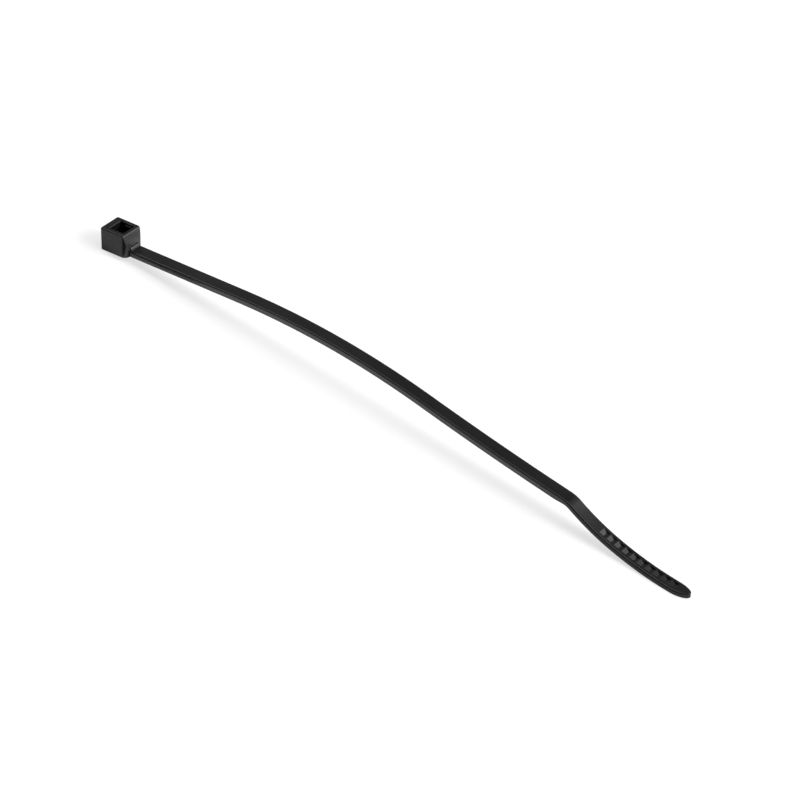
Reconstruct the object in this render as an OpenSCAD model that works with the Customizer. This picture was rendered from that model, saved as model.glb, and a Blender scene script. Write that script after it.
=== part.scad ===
// Cable tie, one moulding, lying open: head with a latch, toothed strap, bent tail with grips.
// It rests on the floor on the back edge of the head and on the belly of the tail.
// Millimetres. +X runs from the head to the tip, +Z is up, the strap is flat across Y.

/* [Strap] */
// width of the strap
strap_w = 2.65; // [2.2:0.05:3.2]
// thickness of the toothed strap
strap_t = 1.05; // [0.8:0.05:1.2]
// radius of the two long upper edges
edge_r = 0.3; // [0.15:0.05:0.35]
// straight length next to the head
root_len = 22.8; // [18:0.1:30]
// length of the first, down-going arc
arch_len = 38.2; // [30:0.5:48]
// how far the first arc turns down, degrees
arch_turn = 15.2; // [10:0.2:18]
// length of the flatter stretch after it
ease_len = 28.6; // [22:0.5:36]
// how far that stretch turns back up, degrees
ease_turn = 3.1; // [1:0.1:5]

/* [Tail] */
// thickness of the tail
tail_t = 0.82; // [0.6:0.02:0.9]
// length over which the strap thins down to the tail
thin_run = 2.4; // [1.2:0.1:3]
// radius of the tight bend, on the upper face
bend_r = 5.5; // [4:0.5:9]
// how far the bend turns down, degrees
bend_turn = 22.7; // [18:0.2:26]
// length of the plain sweep after the bend
sweep_len = 8.6; // [6:0.2:12]
// how far the sweep turns up, degrees
sweep_turn = 13; // [9:0.2:15]
// length of the gripped end, tip included
grip_len = 15.1; // [15:0.1:22]
// how far the gripped end turns up, degrees
grip_turn = 16.6; // [14:0.2:19]
// length of the rounded nose
nose_len = 3.2; // [2.4:0.1:4.4]

/* [Teeth and grips] */
// pitch of the ratchet teeth
tooth_pitch = 1.0; // [0.8:0.05:1.3]
// depth of a tooth gap
tooth_h = 0.35; // [0.2:0.05:0.45]
// width of the tooth track between its two rails
tooth_w = 1.7; // [1.2:0.1:1.9]
// distance from the head to the first tooth
tooth_from = 8; // [5:0.5:14]
// number of grip pockets on the tail
grip_count = 10; // [6:1:10]
// pitch of the grip pockets
grip_pitch = 1.55; // [1.3:0.01:1.6]
// distance from the tip to the first pocket
grip_end = 3.15; // [2.8:0.05:3.6]
// depth of a grip pocket
grip_h = 0.3; // [0.15:0.05:0.35]
// width of a grip pocket
grip_w = 1.7; // [1.2:0.1:1.9]

/* [Head] */
// length of the head at its top
head_len = 4.8; // [4.2:0.1:5.4]
// width of the head
head_w = 4.45; // [3.9:0.05:5]
// height of the head
head_h = 4.2; // [3.5:0.1:4.8]
// radius of the top edges
rim_r = 0.2; // [0.15:0.05:0.35]
// radius of the bottom edges
foot_r = 0.15; // [0.1:0.05:0.3]
// radius of the two upright back corners
back_r = 0.3; // [0.2:0.05:0.6]
// radius of the two upright corners on the strap side
front_r = 0.8; // [0.4:0.05:1.2]
// how far the wall on the strap side leans out
lean = 0.6; // [0.4:0.05:0.95]
// height at which the leaning wall turns upright
lean_z = 1.4; // [1.2:0.1:2]
// height of the strap's underside above the base of the head
root_z = 0.15; // [0.1:0.05:0.3]

/* [Slot and latch] */
// wall behind the slot
back_wall = 1.3; // [0.8:0.05:1.5]
// wall in front of the slot, at the top
front_wall = 0.55; // [0.45:0.05:1]
// room on each side of the strap in the slot
side_gap = 0.1; // [0.08:0.01:0.3]
// width of the bevel around both mouths of the slot
mouth = 0.18; // [0.1:0.02:0.3]
// width of the latch
latch_w = 1.9; // [1.4:0.1:2.2]
// thickness of the hinge of the latch
hinge_t = 0.35; // [0.25:0.05:0.45]
// gap for the latch to bend back into
latch_gap = 0.4; // [0.25:0.05:0.5]
// how far the top of the latch lies below the rim
latch_drop = 1.4; // [0.6:0.1:1.8]

/* [Root] */
// length of the ramp between the head and the top of the strap
ramp_len = 0.75; // [0.5:0.05:1.2]
// height of that ramp
ramp_h = 0.62; // [0.4:0.02:0.8]

/* [Hidden] */
$fn = 48;
black = "#1b1b1d";
over = 0.6;
eps = 0.02;

// The strap and tail follow a chain of arcs, each with a length and a turn.
bend_len = bend_r * PI * bend_turn / 180;
LEN = [root_len, arch_len, ease_len, bend_len, sweep_len, grip_len];
TURN = [0, arch_turn, -ease_turn, bend_turn, -sweep_turn, -grip_turn];
LAST = len(LEN) - 1;
START = [lean, root_z + strap_t, 0];
function radius(length, turn) = length * 180 / (PI * turn);
function advance(p, length, turn) = turn == 0
    ? [p[0] + length * cos(p[2]), p[1] - length * sin(p[2]), p[2]]
    : let (r = radius(length, turn), b = p[2] + turn)
      [p[0] + r * (sin(b) - sin(p[2])), p[1] + r * (cos(b) - cos(p[2])), b];
function start_of(k) = k == 0 ? START : advance(start_of(k - 1), LEN[k - 1], TURN[k - 1]);
function pose_at(s, k = 0, p = START) = s <= LEN[k] || k == LAST
    ? advance(p, s, TURN[k] * s / LEN[k])
    : pose_at(s - LEN[k], k + 1, advance(p, LEN[k], TURN[k]));
strap_end = root_len + arch_len + ease_len;
grip_start = strap_end + bend_len + sweep_len;
full_len = grip_start + grip_len;
thin_from = strap_end - thin_run / 2;
teeth = floor((thin_from - tooth_from) / tooth_pitch);
tooth_run = 0.9 * tooth_pitch;

// Stations along the path: close together where it turns, and closing in on the tip.
COUNT = [for (turn = TURN) max(1, ceil(abs(turn) / 1.1))];
function from_start(k) = k == 0 ? 0 : from_start(k - 1) + LEN[k - 1];
STATIONS = [
    -over,
    for (k = [0 : LAST]) each [
        for (i = [0 : COUNT[k] - 1])
            let (s = from_start(k) + LEN[k] * i / COUNT[k])
            if (s < full_len - nose_len - 0.1) s,
        if (k == 2) thin_from
    ],
    for (a = [0 : 7.5 : 90]) full_len - nose_len + nose_len * sin(a)
];
function half_width(s) = s <= full_len - nose_len ? strap_w / 2
    : max(0.04, strap_w / 2 * sqrt(1 - pow((s - full_len + nose_len) / nose_len, 2)));
function thickness(s) = strap_t - (strap_t - tail_t) * max(0, min(1, (s - thin_from) / thin_run));
// A point at a place across the strap and a height above its upper face.
function spot(s, y, z) = let (p = pose_at(s)) [p[0] + z * sin(p[2]), y, p[1] + z * cos(p[2])];
function flat_spot(s, z) = let (p = spot(s, 0, z)) [p[0], p[2]];

// The slot is as wide as the strap and its play, and its front wall holds the latch.
slot_w = strap_w + 2 * side_gap;
slot_x0 = -head_len + back_wall;
slot_x1 = -front_wall;

// The rest tilt lets the back edge of the head and the belly of the tail touch one floor.
foot = [-head_len + foot_r, foot_r];
grip_pose = start_of(LAST);
grip_r = radius(grip_len, grip_turn);
belly = [grip_pose[0] + grip_r * sin(grip_pose[2]), grip_pose[1] + grip_r * cos(grip_pose[2])];
reach = [belly[0] - foot[0], belly[1] - foot[1]];
tilt = asin((grip_r + tail_t - foot_r) / norm(reach)) - atan2(reach[1], reach[0]);
lift = foot_r - foot[0] * sin(tilt) - foot[1] * cos(tilt);
tip_pose = pose_at(full_len);
x_tip = tip_pose[0] * cos(tilt) - tip_pose[1] * sin(tilt) + tail_t * sin(max(0, tilt - tip_pose[2]));
x_back = (-head_len + rim_r) * cos(tilt) - (head_h - rim_r) * sin(tilt) - rim_r;
x_middle = (x_tip + x_back) / 2;

module on_path(s) {
    p = pose_at(s);
    translate([p[0], 0, p[1]])
        rotate([0, p[2], 0])
            children();
}

// A profile in X and Z, pulled out to a width across Y.
module across(width) {
    rotate([90, 0, 0])
        linear_extrude(width, center = true)
            children();
}

// The whole strap and tail as one sweep of a section with two rounded upper edges.
module sweep() {
    points = [for (s = STATIONS) each
        let (h = half_width(s), r = min(edge_r, 0.7 * h), t = thickness(s))
        [spot(s, -h, -t), spot(s, h, -t),
         for (a = [0 : 22.5 : 90]) spot(s, h - r + r * cos(a), r * sin(a) - r),
         for (a = [90 : 22.5 : 180]) spot(s, r - h + r * cos(a), r * sin(a) - r)]];
    ring = 12;
    rings = len(STATIONS);
    sides = [for (i = [0 : rings - 2], j = [0 : ring - 1]) each
        let (a = i * ring + j, b = i * ring + (j + 1) % ring)
        [[a, a + ring, b + ring], [a, b + ring, b]]];
    ends = [[for (j = [0 : ring - 1]) j], [for (j = [ring - 1 : -1 : 0]) (rings - 1) * ring + j]];
    polyhedron(points, concat(sides, ends));
}

// All the tooth gaps in one: each slopes in gently and ends in a steep face toward the head.
module tooth_gaps() {
    places = [for (i = [0 : teeth - 1]) tooth_from + i * tooth_pitch];
    across(tooth_w)
        polygon([
            for (s = places) each [flat_spot(s, -strap_t - 0.06), flat_spot(s + tooth_run, tooth_h - strap_t),
                                   flat_spot(s + tooth_run + 0.02, -strap_t - 0.06)],
            for (i = [teeth - 1 : -1 : 0]) flat_spot(places[i] + tooth_run / 2, -strap_t - 0.5)
        ]);
}

// Each pocket slopes down toward the tip and climbs back more steeply.
module grip_pocket() {
    across(grip_w)
        polygon([[-0.52 * grip_pitch, eps], [-0.52 * grip_pitch, 0], [0, -grip_h],
                 [0.32 * grip_pitch, 0], [0.32 * grip_pitch, eps]]);
}

module strap() {
    difference() {
        sweep();
        tooth_gaps();
        for (i = [0 : grip_count - 1])
            on_path(full_len - grip_end - i * grip_pitch)
                grip_pocket();
    }
}

// Side view of the head, leaning wall and rounded edges included.
module head_side() {
    slope = atan2(lean, head_h - lean_z);
    top = [-rim_r * (1 / cos(slope) - tan(slope)), head_h - rim_r];
    x0 = -head_len;
    polygon([[x0 + foot_r, 0], [lean, 0], [lean, lean_z],
             [top[0] + rim_r * cos(slope), top[1] + rim_r * sin(slope)],
             [top[0], head_h], [x0 + rim_r, head_h], [x0, head_h - rim_r], [x0, foot_r]]);
    translate(top) circle(rim_r);
    translate([x0 + rim_r, head_h - rim_r]) circle(rim_r);
    translate(foot) circle(foot_r);
}

module head_front() {
    half = head_w / 2;
    polygon([[-half + foot_r, 0], [half - foot_r, 0], [half, foot_r], [half, head_h - rim_r],
             [half - rim_r, head_h], [-half + rim_r, head_h], [-half, head_h - rim_r], [-half, foot_r]]);
    for (side = [-1, 1]) {
        translate([side * (half - rim_r), head_h - rim_r]) circle(rim_r);
        translate([side * (half - foot_r), foot_r]) circle(foot_r);
    }
}

module head_plan() {
    half = head_w / 2;
    polygon([[-head_len + back_r, -half], [lean - front_r, -half], [lean, -half + front_r],
             [lean, half - front_r], [lean - front_r, half], [-head_len + back_r, half],
             [-head_len, half - back_r], [-head_len, -half + back_r]]);
    for (side = [-1, 1]) {
        translate([-head_len + back_r, side * (half - back_r)]) circle(back_r);
        translate([lean - front_r, side * (half - front_r)]) circle(front_r);
    }
}

// The slot, with a bevel around its upper and its lower mouth.
module slot() {
    w = slot_w / 2;
    m = mouth + eps;
    translate([slot_x0, -w, -1]) cube([slot_x1 - slot_x0, slot_w, head_h + 2]);
    for (end = [0, 1])
        translate([0, 0, end * head_h])
            mirror([0, 0, 1 - end])
                intersection() {
                    across(2 * head_w)
                        polygon([[slot_x0, -mouth], [slot_x1, -mouth],
                                 [slot_x1 + m, eps], [slot_x0 - m, eps]]);
                    rotate([90, 0, 90])
                        linear_extrude(4 * head_len, center = true)
                            polygon([[-w, -mouth], [w, -mouth], [w + m, eps], [-w - m, eps]]);
                }
}

// The latch stands on a thin hinge and bears two teeth that catch the strap.
module latch() {
    back = slot_x1 - latch_gap;
    top = head_h - latch_drop;
    face = slot_x0 + strap_t + side_gap;
    low = hinge_t + mouth;
    across(latch_w)
        polygon([[slot_x1 + 0.1, low], [slot_x1 + 0.1, low + hinge_t], [back, low + hinge_t + latch_gap / 2],
                 [back, top - 0.25], [back - 0.3, top], [face, top], [face + tooth_h, top - 0.8 * tooth_pitch],
                 [face, top - 0.8 * tooth_pitch], [face + tooth_h, top - 1.6 * tooth_pitch], [back - 0.2, low]]);
}

module head() {
    difference() {
        intersection() {
            across(2 * head_w) head_side();
            rotate([90, 0, 90]) linear_extrude(4 * head_len, center = true) head_front();
            translate([0, 0, -1]) linear_extrude(head_h + 2) head_plan();
        }
        slot();
    }
    latch();
}

// A short ramp between the wall of the head and the top of the strap.
module root_ramp() {
    across(0.8 * strap_w)
        translate([START[0], START[1]])
            polygon([[-0.3, -0.2], [ramp_len, -0.2], [ramp_len, eps], [0.1, ramp_h], [-0.3, ramp_h]]);
}

module cable_tie() {
    color(black)
        translate([-x_middle, 0, lift])
            rotate([0, -tilt, 0])
                union() {
                    head();
                    strap();
                    root_ramp();
                }
}

cable_tie();
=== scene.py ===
import math

import bpy
from mathutils import Matrix, Vector


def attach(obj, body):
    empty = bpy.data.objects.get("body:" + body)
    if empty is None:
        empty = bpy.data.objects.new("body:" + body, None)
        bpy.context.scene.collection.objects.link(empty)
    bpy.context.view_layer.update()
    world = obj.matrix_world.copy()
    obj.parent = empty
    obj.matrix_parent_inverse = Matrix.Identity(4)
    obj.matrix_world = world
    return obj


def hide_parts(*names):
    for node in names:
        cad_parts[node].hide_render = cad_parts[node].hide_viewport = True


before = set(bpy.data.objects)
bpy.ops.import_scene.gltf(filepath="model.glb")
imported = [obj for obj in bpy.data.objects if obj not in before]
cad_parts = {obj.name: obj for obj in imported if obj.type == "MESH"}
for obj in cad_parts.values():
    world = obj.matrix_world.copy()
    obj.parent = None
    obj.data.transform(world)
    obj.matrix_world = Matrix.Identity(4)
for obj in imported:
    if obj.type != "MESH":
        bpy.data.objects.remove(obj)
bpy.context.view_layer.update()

bl_info = {
    "name": "Cable tie",
    "version": (1, 0, 0),
    "blender": (4, 2, 0),
    "location": "3D View > Sidebar > Cable tie",
    "description": "Models one open cable tie with its head, latch, toothed strap and gripped tail",
    "category": "Object",
}

MM = 0.001
# Tolerances: of a number that should be zero, of a corner that is looked up, and of points that are welded.
TINY, NEAR, WELD = 1e-6, 0.01 * MM, 0.0005 * MM

# Stretches of the strap, from the head to the tip, and the steps they are modelled in. The last steps
# of the ease thin down, and the last steps of the grips make the nose.
ROOT, ARCH, EASE, BEND, SWEEP, GRIPS = range(6)
ROOT_STEPS, ARCH_STEPS, EASE_STEPS, THIN_STEPS = 6, 48, 24, 6
BEND_STEPS, SWEEP_STEPS, GRIP_STEPS, NOSE_STEPS = 20, 20, 24, 24
# Share of its width that the nose keeps at the very tip.
TIP_SHARE = 0.03
# Length of a tooth gap, in pitches.
TOOTH_GAP = 0.9
# Lengths of a grip pocket's two slopes and of half of its flat, in pitches.
POCKET_BACK, POCKET_FRONT, POCKET_FLAT = 0.51, 0.43, 0.01
# Drop of each latch tooth, in pitches.
LATCH_TOOTH = 0.8
# Width of the root ramp, in strap widths.
RAMP_SHARE = 0.8


def length(name, about, mm, low, high):
    return bpy.props.FloatProperty(
        name=name, description=about, default=mm * MM, min=low * MM, max=high * MM,
        subtype="DISTANCE", unit="LENGTH", precision=5,
    )


def turn(name, about, degrees):
    return bpy.props.FloatProperty(
        name=name, description=about, default=math.radians(degrees), subtype="ANGLE", unit="ROTATION",
    )


class TieStrapSizes(bpy.types.PropertyGroup):
    """Sizes of the strap and the tail."""

    width: length("Strap width", "Width of the strap", 2.65, 2.2, 3.2)
    thick: length("Strap thickness", "Thickness of the toothed strap", 1.05, 0.8, 1.2)
    tail_thick: length("Tail thickness", "Thickness of the bent tail", 0.82, 0.6, 0.9)
    thin_run: length("Thinning length", "Length over which the strap thins down to the tail", 2.4, 1.2, 3)
    edge: length("Upper edge radius", "Radius of the two long upper edges", 0.3, 0.1, 0.35)
    low_edge: length("Lower edge radius", "Radius of the two long lower edges", 0.06, 0.02, 0.1)
    root: length("Root length", "Straight length next to the head", 22.8, 18, 30)
    arch: length("Arch length", "Length of the first, down-going arc", 38.2, 30, 48)
    arch_turn: turn("Arch turn", "How far the first arc turns down", 15.2)
    ease: length("Ease length", "Length of the flatter stretch after the arch", 28.6, 22, 36)
    ease_turn: turn("Ease turn", "How far that stretch turns back up", 3.1)
    bend_radius: length("Bend radius", "Radius of the tight bend on its upper face", 5.5, 4, 9)
    bend_turn: turn("Bend turn", "How far the bend turns down", 22.7)
    sweep: length("Sweep length", "Length of the plain sweep after the bend", 8.6, 6, 12)
    sweep_turn: turn("Sweep turn", "How far the sweep turns up", 13.0)
    grip: length("Gripped length", "Length of the gripped end, tip included", 15.1, 15, 22)
    grip_turn: turn("Gripped turn", "How far the gripped end turns up", 16.6)
    nose: length("Nose length", "Length of the rounded nose", 3.2, 2.4, 4.4)
    tooth_pitch: length("Tooth pitch", "Pitch of the ratchet teeth", 1.0, 0.8, 1.3)
    tooth_height: length("Tooth depth", "Depth of a tooth gap", 0.35, 0.2, 0.45)
    tooth_width: length("Tooth track width", "Width of the tooth track between its rails", 1.7, 1.2, 1.9)
    tooth_from: length("First tooth", "Distance from the head to the first tooth", 8.0, 5, 14)
    pocket_count: bpy.props.IntProperty(
        name="Grip pockets", description="Pockets on the tail", default=10, min=6, max=10,
    )
    pocket_pitch: length("Pocket pitch", "Pitch of the grip pockets", 1.55, 1.3, 1.6)
    pocket_end: length("First pocket", "Distance from the tip to the first pocket", 3.15, 2.8, 3.6)
    pocket_depth: length("Pocket depth", "Depth of a grip pocket", 0.25, 0.15, 0.35)
    pocket_width: length("Pocket width", "Width of a grip pocket", 1.3, 1.1, 1.9)


class TieHeadSizes(bpy.types.PropertyGroup):
    """Sizes of the head, its slot and its latch."""

    size_x: length("Head length", "Length of the head at its top", 4.8, 4.2, 5.4)
    size_y: length("Head width", "Width of the head", 4.45, 3.9, 5)
    size_z: length("Head height", "Height of the head", 4.2, 3.5, 4.8)
    rim: length("Rim radius", "Radius of the top edges", 0.26, 0.15, 0.35)
    foot: length("Foot radius", "Radius of the bottom edges", 0.15, 0.1, 0.3)
    back: length("Back corner radius", "Radius of the upright back corners", 0.3, 0.2, 0.6)
    front: length("Front corner radius", "Radius of the upright corners on the strap side", 1.05, 0.4, 1.2)
    lean: length("Lean", "How far the strap-side wall leans out", 0.6, 0.4, 0.95)
    lean_height: length("Lean height", "Height at which the leaning wall turns upright", 1.4, 1.2, 2)
    root_height: length("Root height", "Height of the strap above the base of the head", 0.15, 0.1, 0.3)
    back_wall: length("Back wall", "Wall behind the slot", 1.3, 0.8, 1.5)
    front_wall: length("Front wall", "Wall in front of the slot", 0.55, 0.45, 1)
    side_gap: length("Side gap", "Room on each side of the strap in the slot", 0.1, 0.08, 0.3)
    mouth: length("Mouth radius", "Radius of the edges around both mouths of the slot", 0.1, 0.05, 0.2)
    recess: length("Recess", "How far the cheeks beside the latch lie below the rim", 0.3, 0.1, 0.6)
    latch_width: length("Latch width", "Width of the latch", 1.9, 1.4, 2.2)
    hinge: length("Hinge thickness", "Thickness of the latch's hinge", 0.35, 0.25, 0.45)
    latch_gap: length("Latch gap", "Gap for the latch to bend back into", 0.4, 0.25, 0.5)
    latch_drop: length("Latch drop", "How far the latch stays below the rim", 1.4, 0.6, 1.8)
    ramp_length: length("Ramp length", "Length of the ramp between head and strap", 0.32, 0.25, 1.2)
    ramp_height: length("Ramp height", "Height of that ramp", 0.55, 0.4, 0.8)


class TieFinish(bpy.types.PropertyGroup):
    """Colour and surface of the moulded nylon."""

    colour: bpy.props.FloatVectorProperty(
        name="Nylon colour", description="Colour of the moulded nylon", subtype="COLOR", size=3,
        default=(0.0060, 0.0060, 0.0064), min=0, max=1,
    )
    shade: bpy.props.FloatProperty(
        name="Roughness", description="Mean roughness of the moulded surface", default=0.22,
        min=0.05, max=0.9, subtype="FACTOR",
    )
    grain: length("Grain", "Size of the fine mould grain", 0.12, 0.05, 0.5)


class TiePath:
    """Path of the strap's upper face, in metres, seen from the side with the head's base level."""

    def __init__(self, s, h):
        self.z0 = h.root_height + s.thick
        self.x0 = h.lean
        bend = s.bend_radius * s.bend_turn
        self.lengths = [s.root, s.arch, s.ease, bend, s.sweep, s.grip]
        self.turns = [0.0, s.arch_turn, -s.ease_turn, s.bend_turn, -s.sweep_turn, -s.grip_turn]
        self.full = sum(self.lengths)
        self.strap_end = sum(self.lengths[:BEND])

    def advance(self, pose, run, angle):
        """Pose (X, Z, slope down) at the end of one straight or one arc that starts at a pose."""
        x, z, down = pose
        if abs(angle) < TINY:
            return x + run * math.cos(down), z - run * math.sin(down), down
        r = run / angle
        end = down + angle
        return x + r * (math.sin(end) - math.sin(down)), z + r * (math.cos(end) - math.cos(down)), end

    def start_of(self, k):
        """Pose at the start of stretch k."""
        pose = (self.x0, self.z0, 0.0)
        for i in range(k):
            pose = self.advance(pose, self.lengths[i], self.turns[i])
        return pose

    def pose_at(self, s):
        """Pose at a distance from the head along the upper face."""
        pose = (self.x0, self.z0, 0.0)
        for k, (run, angle) in enumerate(zip(self.lengths, self.turns)):
            if s <= run or k == len(self.lengths) - 1:
                return self.advance(pose, s, angle * s / run)
            pose = self.advance(pose, run, angle)
            s -= run
        return pose

    def place(self, s, up=0.0):
        """Frame at a place on the upper face: X along the strap, Z out of it."""
        x, z, down = self.pose_at(s)
        m = Matrix.Translation((x, 0, z)) @ Matrix.Rotation(down, 4, "Y")
        return m @ Matrix.Translation((0, 0, up))

    def centre(self, k):
        """Centre of arc k."""
        x, z, down = self.start_of(k)
        r = self.lengths[k] / self.turns[k]
        return Vector((x - r * math.sin(down), 0, z - r * math.cos(down)))

    def along(self, co, reach):
        """Place along the strap of a point on one of its arcs, and its height over the upper face.

        Only heights up to the reach count. Both are 0 for a point on the straight root.
        """
        start = self.lengths[ROOT]
        for k in range(ARCH, len(self.lengths)):
            run = self.lengths[k]
            r = run / self.turns[k]
            side = math.copysign(1, r)
            out = (co - self.centre(k)) * side
            up = math.hypot(out.x, out.z) * side - r
            s = (math.atan2(out.x, out.z) - self.start_of(k)[2]) * r
            if abs(up) < reach and -TINY < s < run + TINY:
                return start + s, up
            start += run
        return 0.0, 0.0


def rest_matrix(s, h, path):
    """Lays the tie on the floor: back edge of the head and belly of the tail at height zero."""
    foot = Vector((-h.size_x + h.foot, h.foot))
    x, z, down = path.start_of(GRIPS)
    r = s.grip / s.grip_turn
    belly = Vector((x + r * math.sin(down), z + r * math.cos(down)))
    reach = belly - foot
    tilt = math.asin((r + s.tail_thick - h.foot) / reach.length) - math.atan2(reach.y, reach.x)
    lift = h.foot - foot.x * math.sin(tilt) - foot.y * math.cos(tilt)
    tip = path.pose_at(path.full)
    x_tip = tip[0] * math.cos(tilt) - tip[1] * math.sin(tilt) + s.tail_thick * math.sin(max(0, tilt - tip[2]))
    x_back = (-h.size_x + h.rim) * math.cos(tilt) - (h.size_z - h.rim) * math.sin(tilt) - h.rim
    return Matrix.Translation((-(x_tip + x_back) / 2, 0, lift)) @ Matrix.Rotation(-tilt, 4, "Y")


def settings(context):
    scene = context.scene
    s, h = scene.tie_strap, scene.tie_head
    return s, h, TiePath(s, h)


def clear_selection():
    if bpy.context.mode != "OBJECT":
        bpy.ops.object.mode_set(mode="OBJECT")
    bpy.ops.object.select_all(action="DESELECT")


def only(obj):
    clear_selection()
    obj.select_set(True)
    bpy.context.view_layer.objects.active = obj


def edit(obj, kind="VERT"):
    only(obj)
    bpy.ops.object.mode_set(mode="EDIT")
    bpy.ops.mesh.select_mode(type=kind)
    bpy.ops.mesh.select_all(action="DESELECT")


def done():
    bpy.ops.object.mode_set(mode="OBJECT")


def pick_verts(obj, test):
    """Selects the vertices that pass a test on their place, from edit mode."""
    bpy.ops.object.mode_set(mode="OBJECT")
    for v in obj.data.vertices:
        v.select = bool(test(v.co))
    for e in obj.data.edges:
        e.select = all(obj.data.vertices[i].select for i in e.vertices)
    for f in obj.data.polygons:
        f.select = all(obj.data.vertices[i].select for i in f.vertices)
    bpy.ops.object.mode_set(mode="EDIT")


def pick_edges(obj, test):
    """Selects the edges whose two ends pass a test, from edit mode in edge mode."""
    bpy.ops.object.mode_set(mode="OBJECT")
    verts = obj.data.vertices
    for v in verts:
        v.select = False
    for f in obj.data.polygons:
        f.select = False
    for e in obj.data.edges:
        e.select = bool(test(verts[e.vertices[0]].co, verts[e.vertices[1]].co))
    bpy.ops.object.mode_set(mode="EDIT")


def shift(obj, test, by):
    """Moves the vertices that pass a test on their place, from edit mode."""
    pick_verts(obj, test)
    bpy.ops.transform.translate(value=by)


def block(name, low, high):
    """A box between two corners, with its place in its mesh."""
    low, high = Vector(low), Vector(high)
    clear_selection()
    bpy.ops.mesh.primitive_cube_add(size=1, location=(low + high) / 2)
    obj = bpy.context.active_object
    obj.name = name
    obj.scale = high - low
    bpy.ops.object.transform_apply(location=True, rotation=True, scale=True)
    return obj


def cut(body, tool):
    """Takes the tool's shape out of the body."""
    only(body)
    m = body.modifiers.new("Cut", "BOOLEAN")
    m.operation = "DIFFERENCE"
    m.solver = "EXACT"
    m.object = tool
    bpy.ops.object.modifier_apply(modifier=m.name)
    bpy.data.objects.remove(tool)


def bevel_edges(radius, segments):
    """Rounds the selected edges, from edit mode."""
    bpy.ops.mesh.bevel(offset=radius, offset_type="OFFSET", segments=segments, profile=0.5, affect="EDGES")


def round_off(obj, radius, segments):
    """Rounds all sharp edges of a finished mesh."""
    m = obj.modifiers.new("Edges", "BEVEL")
    m.width = radius
    m.segments = segments
    m.limit_method = "ANGLE"
    only(obj)
    bpy.ops.object.modifier_apply(modifier=m.name)


def join(tools):
    """Joins the tools of one row into a single mesh."""
    clear_selection()
    for tool in tools:
        tool.select_set(True)
    bpy.context.view_layer.objects.active = tools[0]
    bpy.ops.object.join()
    return bpy.context.active_object


def grey(level):
    """An opaque grey."""
    return level, level, level, 1


class NodeKit:
    """Adds nodes to one emptied node tree and wires them together."""

    def __init__(self, tree):
        self.nodes, self.links = tree.nodes, tree.links
        self.nodes.clear()

    def shader(self, kind, wires=(), **values):
        """A shader node with the given input values, and the given sockets wired to its first inputs."""
        node = self.nodes.new(kind)
        for name, value in values.items():
            node.inputs[name].default_value = value
        for i, socket in enumerate(wires):
            self.links.new(socket, node.inputs[i])
        return node.outputs[0]

    def maths(self, operation, *sockets):
        node = self.nodes.new("ShaderNodeMath")
        node.operation = operation
        for i, socket in enumerate(sockets):
            self.links.new(socket, node.inputs[i])
        return node.outputs[0]

    def vector_maths(self, operation, vector, other=None):
        node = self.nodes.new("ShaderNodeVectorMath")
        node.operation = operation
        self.links.new(vector, node.inputs[0])
        if other is not None:
            node.inputs[1].default_value = other
        return node.outputs["Value"]

    def fade(self, value, start, end, low, high, kind="SMOOTHSTEP"):
        """Runs from one level to another between two edges."""
        ramp = self.nodes.new("ShaderNodeMapRange")
        ramp.interpolation_type = kind
        for name, number in (("From Min", start), ("From Max", end), ("To Min", low), ("To Max", high)):
            ramp.inputs[name].default_value = number
        self.links.new(value, ramp.inputs["Value"])
        return ramp.outputs[0]

    def noise(self, coords, size, detail, stretch=(1, 1, 1)):
        """Noise with features of about one size, stretched along the strap."""
        place = self.nodes.new("ShaderNodeMapping")
        place.inputs["Scale"].default_value = [k / size for k in stretch]
        self.links.new(coords, place.inputs["Vector"])
        noise = self.nodes.new("ShaderNodeTexNoise")
        noise.inputs["Scale"].default_value = 1.0
        noise.inputs["Detail"].default_value = detail
        noise.inputs["Roughness"].default_value = 0.55
        self.links.new(place.outputs[0], noise.inputs["Vector"])
        return noise.outputs["Fac"]

    def bump(self, height, strength, distance, normal=None):
        node = self.nodes.new("ShaderNodeBump")
        node.inputs["Strength"].default_value = strength
        node.inputs["Distance"].default_value = distance
        self.links.new(height, node.inputs["Height"])
        if normal is not None:
            self.links.new(normal, node.inputs["Normal"])
        return node.outputs[0]

    def camera_switch(self, others, camera):
        """One shader for what the camera sees directly, another for all other light."""
        seen = self.nodes.new("ShaderNodeLightPath").outputs["Is Camera Ray"]
        return self.shader("ShaderNodeMixShader", (seen, others, camera))


# Moulded nylon: its index of refraction, and the size, detail and stretch of its noises.
NYLON_IOR = 1.53
FLOW, SCUFF = (5.0 * MM, 3, (0.35, 1, 1)), (0.35 * MM, 4, (0.08, 1, 1))
RIPPLE, GRAIN_DETAIL = (1.6 * MM, 2, (0.5, 1, 1)), 2
# The part of a noise that shows: of the flow in colour and roughness, and of the scuffs.
FLOW_COLOURED, FLOW_ROUGHENED, SCUFFED = (0.35, 0.65), (0.3, 0.7), (0.55, 0.75)
# Darkest and lightest tone, in shares of the colour, and how the flow and the scuffs change the roughness.
DARK_TONE, LIGHT_TONE = (0.8, 0.8, 0.82), (1.25, 1.25, 1.25)
FLOW_SHADE, SCUFF_SHADE = (-0.05, 0.06), (0, 0.14)
# Strength and height of the bumps.
GRAIN_BUMP, RIPPLE_BUMP = (0.25, 0.02 * MM), (0.4, 0.05 * MM)


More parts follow.
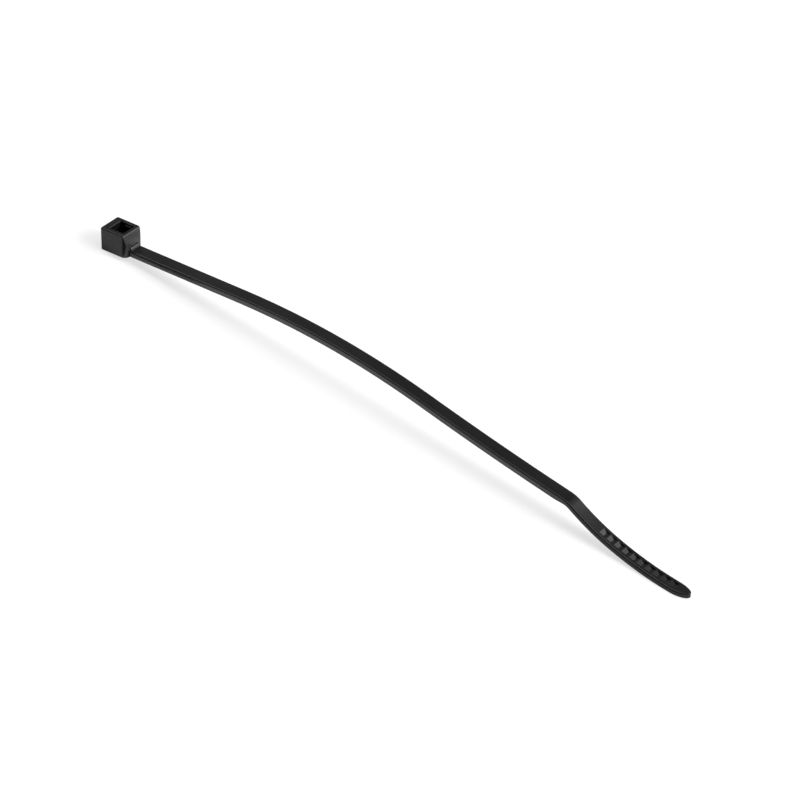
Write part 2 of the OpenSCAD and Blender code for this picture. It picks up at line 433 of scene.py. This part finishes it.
def nylon(finish):
    mat = bpy.data.materials.get("moulded_nylon")
    if mat:
        return mat
    mat = bpy.data.materials.new("moulded_nylon")
    mat.use_nodes = True
    kit = NodeKit(mat.node_tree)
    nodes, links = kit.nodes, kit.links
    out = nodes.new("ShaderNodeOutputMaterial")
    bsdf = nodes.new("ShaderNodeBsdfPrincipled")
    links.new(bsdf.outputs[0], out.inputs[0])
    bsdf.inputs["IOR"].default_value = NYLON_IOR
    coords = nodes.new("ShaderNodeTexCoord").outputs["Object"]
    flow, scuff, ripple = (kit.noise(coords, *look) for look in (FLOW, SCUFF, RIPPLE))
    grain = kit.noise(coords, finish.grain, GRAIN_DETAIL)

    tone = nodes.new("ShaderNodeMix")
    tone.data_type = "RGBA"
    for name, shares in (("A", DARK_TONE), ("B", LIGHT_TONE)):
        tone.inputs[name].default_value = (*(c * k for c, k in zip(finish.colour, shares)), 1)
    links.new(kit.fade(flow, *FLOW_COLOURED, 0, 1, "LINEAR"), tone.inputs["Factor"])
    links.new(tone.outputs["Result"], bsdf.inputs["Base Color"])

    low, high = (finish.shade + change for change in FLOW_SHADE)
    flow_shade = kit.fade(flow, *FLOW_ROUGHENED, low, high, "LINEAR")
    scuff_shade = kit.fade(scuff, *SCUFFED, *SCUFF_SHADE, "LINEAR")
    links.new(kit.maths("ADD", flow_shade, scuff_shade), bsdf.inputs["Roughness"])
    links.new(kit.bump(ripple, *RIPPLE_BUMP, kit.bump(grain, *GRAIN_BUMP)), bsdf.inputs["Normal"])
    return mat


def settle(obj, name, degrees):
    """Gives a finished mesh its nylon and its shading, lays it on the floor and puts it on the one body."""
    obj.data.materials.clear()
    obj.data.materials.append(nylon(bpy.context.scene.tie_finish))
    only(obj)
    bpy.ops.object.shade_smooth_by_angle(angle=math.radians(degrees))
    obj.data.transform(rest_matrix(*settings(bpy.context)))
    obj.name = name
    obj.data.name = name
    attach(obj, "root")
    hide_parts("cable_tie")


class TIE_OT_strap(bpy.types.Operator):
    """Draw the strap's section and run it along its arcs to the rounded tip"""

    bl_idname = "tie.strap"
    bl_label = "Strap and tail"

    def execute(self, context):
        s, h, path = settings(context)
        clear_selection()
        bpy.ops.mesh.primitive_plane_add(size=1, rotation=(math.pi / 2, 0, math.pi / 2))
        strap = context.active_object
        strap.name = "strap"
        strap.dimensions = (s.width, s.thick, 0)
        bpy.ops.object.transform_apply(location=True, rotation=True, scale=True)
        edit(strap)
        bpy.ops.mesh.select_all(action="SELECT")
        middle = path.z0 - s.thick / 2
        # The strap starts a little behind the head's wall.
        behind = 0.5 * MM
        bpy.ops.transform.translate(value=(h.lean - behind, 0, middle))
        pick_verts(strap, lambda co: co.z > middle)
        bpy.ops.mesh.bevel(offset=s.edge, segments=10, affect="VERTICES")
        pick_verts(strap, lambda co: co.z < middle - s.thick / 4)
        bpy.ops.mesh.bevel(offset=s.low_edge, segments=2, affect="VERTICES")
        bpy.ops.mesh.select_all(action="SELECT")
        for run in [behind] + ROOT_STEPS * [s.root / ROOT_STEPS]:
            bpy.ops.mesh.extrude_region_move(TRANSFORM_OT_translate={"value": (run, 0, 0)})
        thin_share = s.thin_run / 2 / s.ease
        nose_share = s.nose / s.grip
        for k, share, steps in (
            (ARCH, 1, ARCH_STEPS), (EASE, 1 - thin_share, EASE_STEPS), (EASE, thin_share, THIN_STEPS),
            (BEND, 1, BEND_STEPS), (SWEEP, 1, SWEEP_STEPS),
            (GRIPS, 1 - nose_share, GRIP_STEPS), (GRIPS, nose_share, NOSE_STEPS),
        ):
            # With no window, spin turns the other way.
            bpy.ops.mesh.spin(
                steps=steps, angle=-path.turns[k] * share, center=path.centre(k), axis=(0, 1, 0), dupli=False
            )
        bpy.ops.mesh.select_all(action="SELECT")
        bpy.ops.mesh.remove_doubles(threshold=WELD)
        bpy.ops.mesh.normals_make_consistent(inside=False)
        done()
        # The underside rises where the strap thins down, and the nose narrows to a round tip.
        reach = 1.2 * s.thick
        for v in strap.data.vertices:
            place, up = path.along(v.co, reach)
            thinned = min(1, max(0, (place - path.strap_end) / s.thin_run + 0.5))
            if -up > s.thick / 2:
                slope = path.pose_at(place)[2]
                rise = (s.thick - s.tail_thick) * thinned
                v.co += Vector((math.sin(slope), 0, math.cos(slope))) * rise
            past = (place - path.full + s.nose) / s.nose
            if past > 0:
                v.co.y *= max(TIP_SHARE, math.sqrt(max(0, 1 - min(past, 1) ** 2)))
        return {"FINISHED"}


class TIE_OT_teeth(bpy.types.Operator):
    """Cut the ratchet teeth into the underside of the strap"""

    bl_idname = "tie.teeth"
    bl_label = "Ratchet teeth"

    def execute(self, context):
        s, _, path = settings(context)
        strap = bpy.data.objects["strap"]
        run = TOOTH_GAP * s.tooth_pitch
        half = s.tooth_width / 2
        beyond, lip = 0.2 * MM, 0.02 * MM
        gap = block("tooth_gap", (0, -half, -beyond), (run, half, s.tooth_height))
        edit(gap)
        shift(gap, lambda co: co.x < run / 2 and co.z > 0, (-lip, 0, -s.tooth_height))
        done()
        count = int((path.strap_end - s.thin_run / 2 - s.tooth_from) / s.tooth_pitch)
        tools = []
        for i in range(count):
            tool = gap.copy()
            tool.data = gap.data.copy()
            context.collection.objects.link(tool)
            tool.data.transform(path.place(s.tooth_from + i * s.tooth_pitch, -s.thick))
            tools.append(tool)
        bpy.data.objects.remove(gap)
        cut(strap, join(tools))
        return {"FINISHED"}


class TIE_OT_grips(bpy.types.Operator):
    """Press the grip pockets into the upper face of the tail"""

    bl_idname = "tie.grips"
    bl_label = "Grip pockets"

    def execute(self, context):
        s, _, path = settings(context)
        strap = bpy.data.objects["strap"]
        p, half, deep, over = s.pocket_pitch, s.pocket_width / 2, s.pocket_depth, NEAR
        back, front, flat = POCKET_BACK * p, POCKET_FRONT * p, POCKET_FLAT * p
        tools = []
        for i in range(s.pocket_count):
            tool = block("pocket", (-back - flat, -half, -deep), (front + flat, half, over))
            edit(tool)
            shift(tool, lambda co: co.z < 0 and co.x < 0, (back, 0, 0))
            shift(tool, lambda co: co.z < 0 and co.x > flat, (-front, 0, 0))
            # Above the tail both slopes go on as they are.
            shift(tool, lambda co: co.z > 0 and co.x < 0, (-over * back / deep, 0, 0))
            shift(tool, lambda co: co.z > 0 and co.x > 0, (over * front / deep, 0, 0))
            done()
            tool.data.transform(path.place(path.full - s.pocket_end - i * p))
            tools.append(tool)
        cut(strap, join(tools))
        settle(strap, "strap", degrees=12)
        return {"FINISHED"}


class TIE_OT_head(bpy.types.Operator):
    """Shape the head from a block: leaning wall, rounded corners and edges, and the slot"""

    bl_idname = "tie.head"
    bl_label = "Head"

    def execute(self, context):
        s, h, _ = settings(context)
        half = h.size_y / 2
        head = block("head", (-h.size_x, -half, 0), (h.lean, half, h.size_z))
        edit(head, "EDGE")
        up = lambda a, b: abs(a.z - b.z) > h.size_z / 2
        pick_edges(head, lambda a, b: up(a, b) and a.x > 0)
        bevel_edges(h.front, segments=14)
        pick_edges(head, lambda a, b: up(a, b) and a.x < -h.size_x + NEAR)
        bevel_edges(h.back, segments=8)
        # The leaning wall is planed off the front with one slanted cut.
        slope = math.atan2(h.lean, h.size_z - h.lean_height)
        bpy.ops.mesh.select_mode(type="VERT")
        bpy.ops.mesh.select_all(action="SELECT")
        bpy.ops.mesh.bisect(
            plane_co=(h.lean, 0, h.lean_height), plane_no=(math.cos(slope), 0, math.sin(slope)),
            use_fill=True, clear_outer=True,
        )
        bpy.ops.mesh.select_mode(type="EDGE")
        pick_edges(head, lambda a, b: min(a.z, b.z) > h.size_z - NEAR)
        bevel_edges(h.rim, segments=6)
        pick_edges(head, lambda a, b: max(a.z, b.z) < NEAR)
        bevel_edges(h.foot, segments=5)
        done()
        w = s.width / 2 + h.side_gap
        x0, x1 = -h.size_x + h.back_wall, -h.front_wall
        beyond, overlap, top = 1 * MM, 0.2 * MM, h.size_z
        channel = x0 + s.thick + 2 * h.side_gap
        pocket = h.latch_width / 2 + h.side_gap
        # A channel for the strap, a narrower pocket for the latch and a recess at either mouth.
        for low, high in (
            ((x0, -w, -beyond), (channel, w, top + beyond)),
            ((x0 + overlap, -pocket, -beyond), (x1, pocket, top + beyond)),
            ((x0, -w, top - h.recess), (x1, w, top + beyond)),
            ((x0, -w, -beyond), (x1, w, h.recess)),
        ):
            cut(head, block("slot", low, high))
        edit(head, "EDGE")
        for z in (0, top):
            at_mouth = lambda c: x0 - NEAR < c.x < x1 + NEAR and abs(c.y) < w + NEAR and abs(c.z - z) < NEAR
            pick_edges(head, lambda a, b: at_mouth(a) and at_mouth(b))
            bevel_edges(h.mouth, segments=3)
        done()
        settle(head, "head", degrees=30)
        return {"FINISHED"}


class TIE_OT_latch(bpy.types.Operator):
    """Model the latch that stands in the slot on its thin hinge"""

    bl_idname = "tie.latch"
    bl_label = "Latch"

    def execute(self, context):
        s, h, _ = settings(context)
        x1 = -h.front_wall
        back = x1 - h.latch_gap
        top = h.size_z - h.latch_drop
        face = -h.size_x + h.back_wall + s.thick + h.side_gap
        low = h.hinge + h.mouth
        drop, notch = LATCH_TOOTH * s.tooth_pitch, face + s.tooth_height
        inside, heel, slope_x, slope_z = 0.1 * MM, 0.2 * MM, 0.3 * MM, 0.25 * MM
        outline = [
            (x1 + inside, low), (x1 + inside, low + h.hinge), (back, low + h.hinge + h.latch_gap / 2),
            (back, top - slope_z), (back - slope_x, top), (face, top), (notch, top - drop),
            (face, top - drop), (notch, top - 2 * drop), (back - heel, low),
        ]
        clear_selection()
        bpy.ops.mesh.primitive_circle_add(vertices=len(outline), radius=1 * MM, fill_type="NGON")
        latch = context.active_object
        for v, (x, z) in zip(latch.data.vertices, outline):
            v.co = (x, -h.latch_width / 2, z)
        edit(latch, "FACE")
        bpy.ops.mesh.select_all(action="SELECT")
        bpy.ops.mesh.extrude_region_move(TRANSFORM_OT_translate={"value": (0, h.latch_width, 0)})
        bpy.ops.mesh.select_all(action="SELECT")
        bpy.ops.mesh.normals_make_consistent(inside=False)
        done()
        round_off(latch, 0.05 * MM, segments=2)
        settle(latch, "latch", degrees=30)
        return {"FINISHED"}


class TIE_OT_ramp(bpy.types.Operator):
    """Model the short ramp between the head's wall and the top of the strap"""

    bl_idname = "tie.ramp"
    bl_label = "Root ramp"

    def execute(self, context):
        s, h, path = settings(context)
        half = RAMP_SHARE * s.width / 2
        x, z = h.lean, path.z0
        behind, sunk, shelf, lip = 0.3 * MM, 0.2 * MM, 0.1 * MM, 0.02 * MM
        ramp = block("ramp", (x - behind, -half, z - sunk), (x + h.ramp_length, half, z + h.ramp_height))
        edit(ramp)
        bpy.ops.mesh.select_all(action="SELECT")
        bpy.ops.mesh.bisect(plane_co=(x + shelf, 0, 0), plane_no=(1, 0, 0))
        shift(ramp, lambda co: co.x > x + 2 * shelf and co.z > z, (0, 0, lip - h.ramp_height))
        done()
        round_off(ramp, 0.07 * MM, segments=3)
        settle(ramp, "root_ramp", degrees=30)
        return {"FINISHED"}


# The studio. The edges of a light are the cosines at which it starts and is full.
ROOM_EDGES, ROOM_FRONT, ROOM_BACK = (-0.4, 0.3), 0.02, 0.09
KEY_TOWARD, KEY_EDGES, KEY_LIGHT = (0.75, 0.6, 0.35), (0.74, 0.93), 1.6
HALO_EDGES, HALO_LIGHT = (0.56, 0.72), 0.36
SIDE_TOWARD, SIDE_EDGES, SIDE_LIGHT = (-0.8, 0.5, 0.3), (0.6, 0.85), 0.10
STRIP_EDGES, STRIP_HEIGHT, STRIP_LIGHT = (0.30, 0.10), (0.2, 0.6), 2.2
BACKDROP = 0.97
# Turn about X and Y, strength and width of the lamp overhead.
LAMP_TURNED, LAMP_LIGHT, LAMP_WIDTH = (-12, 50), 2.6, 30
# The floor that the camera sees: how much light it takes, and how much it gives.
FLOOR_SIZE, FLOOR_DROP = 6, 0.02 * MM
FLOOR_TONE, FLOOR_GLOW = 0.3, 0.68
# The floor that mirrored light sees carries painted shade: darker past the back of the head, beyond the tail
# and on the far side, which the tie mirrors as painted dark reflections. A band has an axis, two edges in
# millimetres and a shade beyond each.
PAINTED_SHADE_BANDS = (("X", -55.6, -53.8, 0.52, 0.95), ("X", 24, 40, 1, 0.5), ("Y", 4, 8, 1, 0.62))
# A dark patch of painted shade in front of the head's corner, for mirrored light only: its bands, the slant
# of one edge and its shade.
PAINTED_PATCH_BANDS = (
    ("Slanted", -15.2, -13.8, 1, 0), ("X", -55.8, -54.6, 0, 1), ("X", -45, -42, 1, 0), ("Y", -18, -14, 0, 1),
)
PAINTED_PATCH_SLANT, PAINTED_PATCH_SHADE = (0.2, 1, 0), 0.04
# An oval of painted shadow on the floor under the head, seen in mirrored light only: middle and half sizes in
# millimetres, edges in half sizes, and its shade.
PAINTED_SHADOW_MIDDLE, PAINTED_SHADOW_SIZE, PAINTED_SHADOW_EDGES, PAINTED_SHADOW_SHADE = (-50.2, 3.6), (3.6, 2.6), (0.5, 1.15), 0.06
# The camera: where it stands, which way its right and back point, its lens and its sensor in millimetres.
CAMERA_PLACE = (0.374129, -0.589595, 0.569245)
CAMERA_RIGHT, CAMERA_BACK = (0.77664, 0.61625, 0.13059), (0.41519, -0.65668, 0.62960)
CAMERA_LENS, CAMERA_SENSOR, CAMERA_CLIP = 253.42, 36, (0.01, 20)


class TIE_OT_stage(bpy.types.Operator):
    """Lay out the pale floor with its painted shade for mirrored light, the soft light and the camera"""

    bl_idname = "tie.stage"
    bl_label = "Floor, light and camera"

    def execute(self, context):
        clear_selection()
        bpy.ops.mesh.primitive_plane_add(size=FLOOR_SIZE, location=(0, 0, -FLOOR_DROP))
        floor = context.active_object
        floor.name = "floor"
        floor.data.materials.append(self.floor_material())
        self.world(context)
        turned = [math.radians(angle) for angle in LAMP_TURNED]
        bpy.ops.object.light_add(type="SUN", rotation=(*turned, 0))
        lamp = context.active_object
        lamp.name = "overhead_softbox"
        lamp.data.energy = LAMP_LIGHT
        lamp.data.angle = math.radians(LAMP_WIDTH)
        self.camera(context)
        return {"FINISHED"}

    def floor_material(self):
        """Pale and plain to the camera; for mirrored light only, painted shade darkens it in bands, a patch
        and an oval, which the tie mirrors as painted dark reflections.
        """
        mat = bpy.data.materials.new("pale_floor")
        mat.use_nodes = True
        kit = NodeKit(mat.node_tree)
        out = kit.nodes.new("ShaderNodeOutputMaterial")
        coords = kit.nodes.new("ShaderNodeTexCoord").outputs["Object"]
        split = kit.nodes.new("ShaderNodeSeparateXYZ")
        kit.links.new(coords, split.inputs[0])
        axes = {"X": split.outputs["X"], "Y": split.outputs["Y"]}
        axes["Slanted"] = kit.vector_maths("DOT_PRODUCT", coords, PAINTED_PATCH_SLANT)

        def bands(rows):
            """The shades of several bands, multiplied."""
            total = None
            for axis, start, end, *levels in rows:
                shade = kit.fade(axes[axis], start * MM, end * MM, *levels)
                total = kit.maths("MULTIPLY", total, shade) if total else shade
            return total

        # A dark patch of painted shade lies on the floor in front of the head's corner, seen in mirrored
        # light only, just clear of what the strap's side mirrors; it paints the dark reflection down the
        # head's rounded corner.
        front = kit.fade(bands(PAINTED_PATCH_BANDS), 0, 1, 1, PAINTED_PATCH_SHADE)
        # A dark oval of painted shadow by the head, for mirrored light only.
        local = kit.nodes.new("ShaderNodeMapping")
        local.vector_type = "TEXTURE"
        local.inputs["Location"].default_value = [at * MM for at in (*PAINTED_SHADOW_MIDDLE, 0)]
        local.inputs["Scale"].default_value = (*(half * MM for half in PAINTED_SHADOW_SIZE), 1)
        kit.links.new(coords, local.inputs["Vector"])
        painted_oval_shadow = kit.fade(kit.vector_maths("LENGTH", local.outputs[0]), *PAINTED_SHADOW_EDGES, PAINTED_SHADOW_SHADE, 1)
        # Painted shade for mirrored light: the bands, the dark patch and the dark oval, multiplied.
        shade = kit.maths("MULTIPLY", kit.maths("MULTIPLY", bands(PAINTED_SHADE_BANDS), front), painted_oval_shadow)

        mirrored = kit.shader("ShaderNodeBsdfDiffuse", (shade,))
        faint = kit.shader("ShaderNodeBsdfDiffuse", Color=grey(FLOOR_TONE))
        glow = kit.shader("ShaderNodeEmission", Color=grey(1), Strength=FLOOR_GLOW)
        seen = kit.shader("ShaderNodeAddShader", (faint, glow))
        kit.links.new(kit.camera_switch(mirrored, seen), out.inputs[0])
        return mat

    def world(self, context):
        """A dim room, lighter at the back, a soft key at the back on the right, and a strip overhead."""
        world = bpy.data.worlds.new("studio")
        context.scene.world = world
        world.use_nodes = True
        kit = NodeKit(world.node_tree)
        out = kit.nodes.new("ShaderNodeOutputWorld")
        coords = kit.nodes.new("ShaderNodeTexCoord").outputs["Generated"]

        def toward(direction):
            return kit.vector_maths("DOT_PRODUCT", coords, Vector(direction).normalized())

        strip = kit.maths(
            "MULTIPLY",
            kit.fade(kit.maths("ABSOLUTE", toward((0, 1, 0))), *STRIP_EDGES, 0, STRIP_LIGHT),
            kit.fade(toward((0, 0, 1)), *STRIP_HEIGHT, 0, 1),
        )
        total = kit.fade(toward((0, 1, 0)), *ROOM_EDGES, ROOM_FRONT, ROOM_BACK)
        for light in (
            kit.fade(toward(KEY_TOWARD), *HALO_EDGES, 0, HALO_LIGHT),
            kit.fade(toward(KEY_TOWARD), *KEY_EDGES, 0, KEY_LIGHT),
            kit.fade(toward(SIDE_TOWARD), *SIDE_EDGES, 0, SIDE_LIGHT),
            strip,
        ):
            total = kit.maths("ADD", total, light)
        room = kit.nodes.new("ShaderNodeBackground")
        room.inputs["Color"].default_value = grey(1)
        kit.links.new(total, room.inputs["Strength"])
        white = kit.shader("ShaderNodeBackground", Color=grey(BACKDROP))
        kit.links.new(kit.camera_switch(room.outputs[0], white), out.inputs[0])

    def camera(self, context):
        back = Vector(CAMERA_BACK).normalized()
        up = back.cross(Vector(CAMERA_RIGHT)).normalized()
        right = up.cross(back).normalized()
        turned = Matrix((right, up, back)).transposed().to_4x4()
        data = bpy.data.cameras.new("camera")
        data.lens = CAMERA_LENS
        data.sensor_width = CAMERA_SENSOR
        data.clip_start, data.clip_end = CAMERA_CLIP
        cam = bpy.data.objects.new("camera", data)
        context.scene.collection.objects.link(cam)
        cam.matrix_world = Matrix.Translation(CAMERA_PLACE) @ turned
        context.scene.camera = cam


class TIE_PT_panel(bpy.types.Panel):
    """Lists the sizes, the finish and the making steps"""

    bl_idname = "TIE_PT_panel"
    bl_label = "Cable tie"
    bl_space_type = "VIEW_3D"
    bl_region_type = "UI"
    bl_category = "Cable tie"

    def draw(self, context):
        layout, scene = self.layout, context.scene
        for title, group in (
            ("Strap", scene.tie_strap), ("Head", scene.tie_head), ("Finish", scene.tie_finish),
        ):
            box = layout.box()
            box.label(text=title)
            for name in group.__annotations__:
                box.prop(group, name)
        for step in STEPS:
            layout.operator(step.bl_idname)


STEPS = (TIE_OT_strap, TIE_OT_teeth, TIE_OT_grips, TIE_OT_head, TIE_OT_latch, TIE_OT_ramp, TIE_OT_stage)
GROUPS = (TieStrapSizes, TieHeadSizes, TieFinish)


def register():
    for cls in (*GROUPS, *STEPS, TIE_PT_panel):
        bpy.utils.register_class(cls)
    bpy.types.Scene.tie_strap = bpy.props.PointerProperty(type=TieStrapSizes)
    bpy.types.Scene.tie_head = bpy.props.PointerProperty(type=TieHeadSizes)
    bpy.types.Scene.tie_finish = bpy.props.PointerProperty(type=TieFinish)


def unregister():
    for name in ("tie_strap", "tie_head", "tie_finish"):
        delattr(bpy.types.Scene, name)
    for cls in (TIE_PT_panel, *reversed(STEPS), *reversed(GROUPS)):
        bpy.utils.unregister_class(cls)


def main():
    register()
    bpy.ops.tie.strap()
    bpy.ops.tie.teeth()
    bpy.ops.tie.grips()
    bpy.ops.tie.head()
    bpy.ops.tie.latch()
    bpy.ops.tie.ramp()
    bpy.ops.tie.stage()
    bpy.context.scene.view_settings.view_transform = "Standard"


if __name__ == "__main__":
    main()
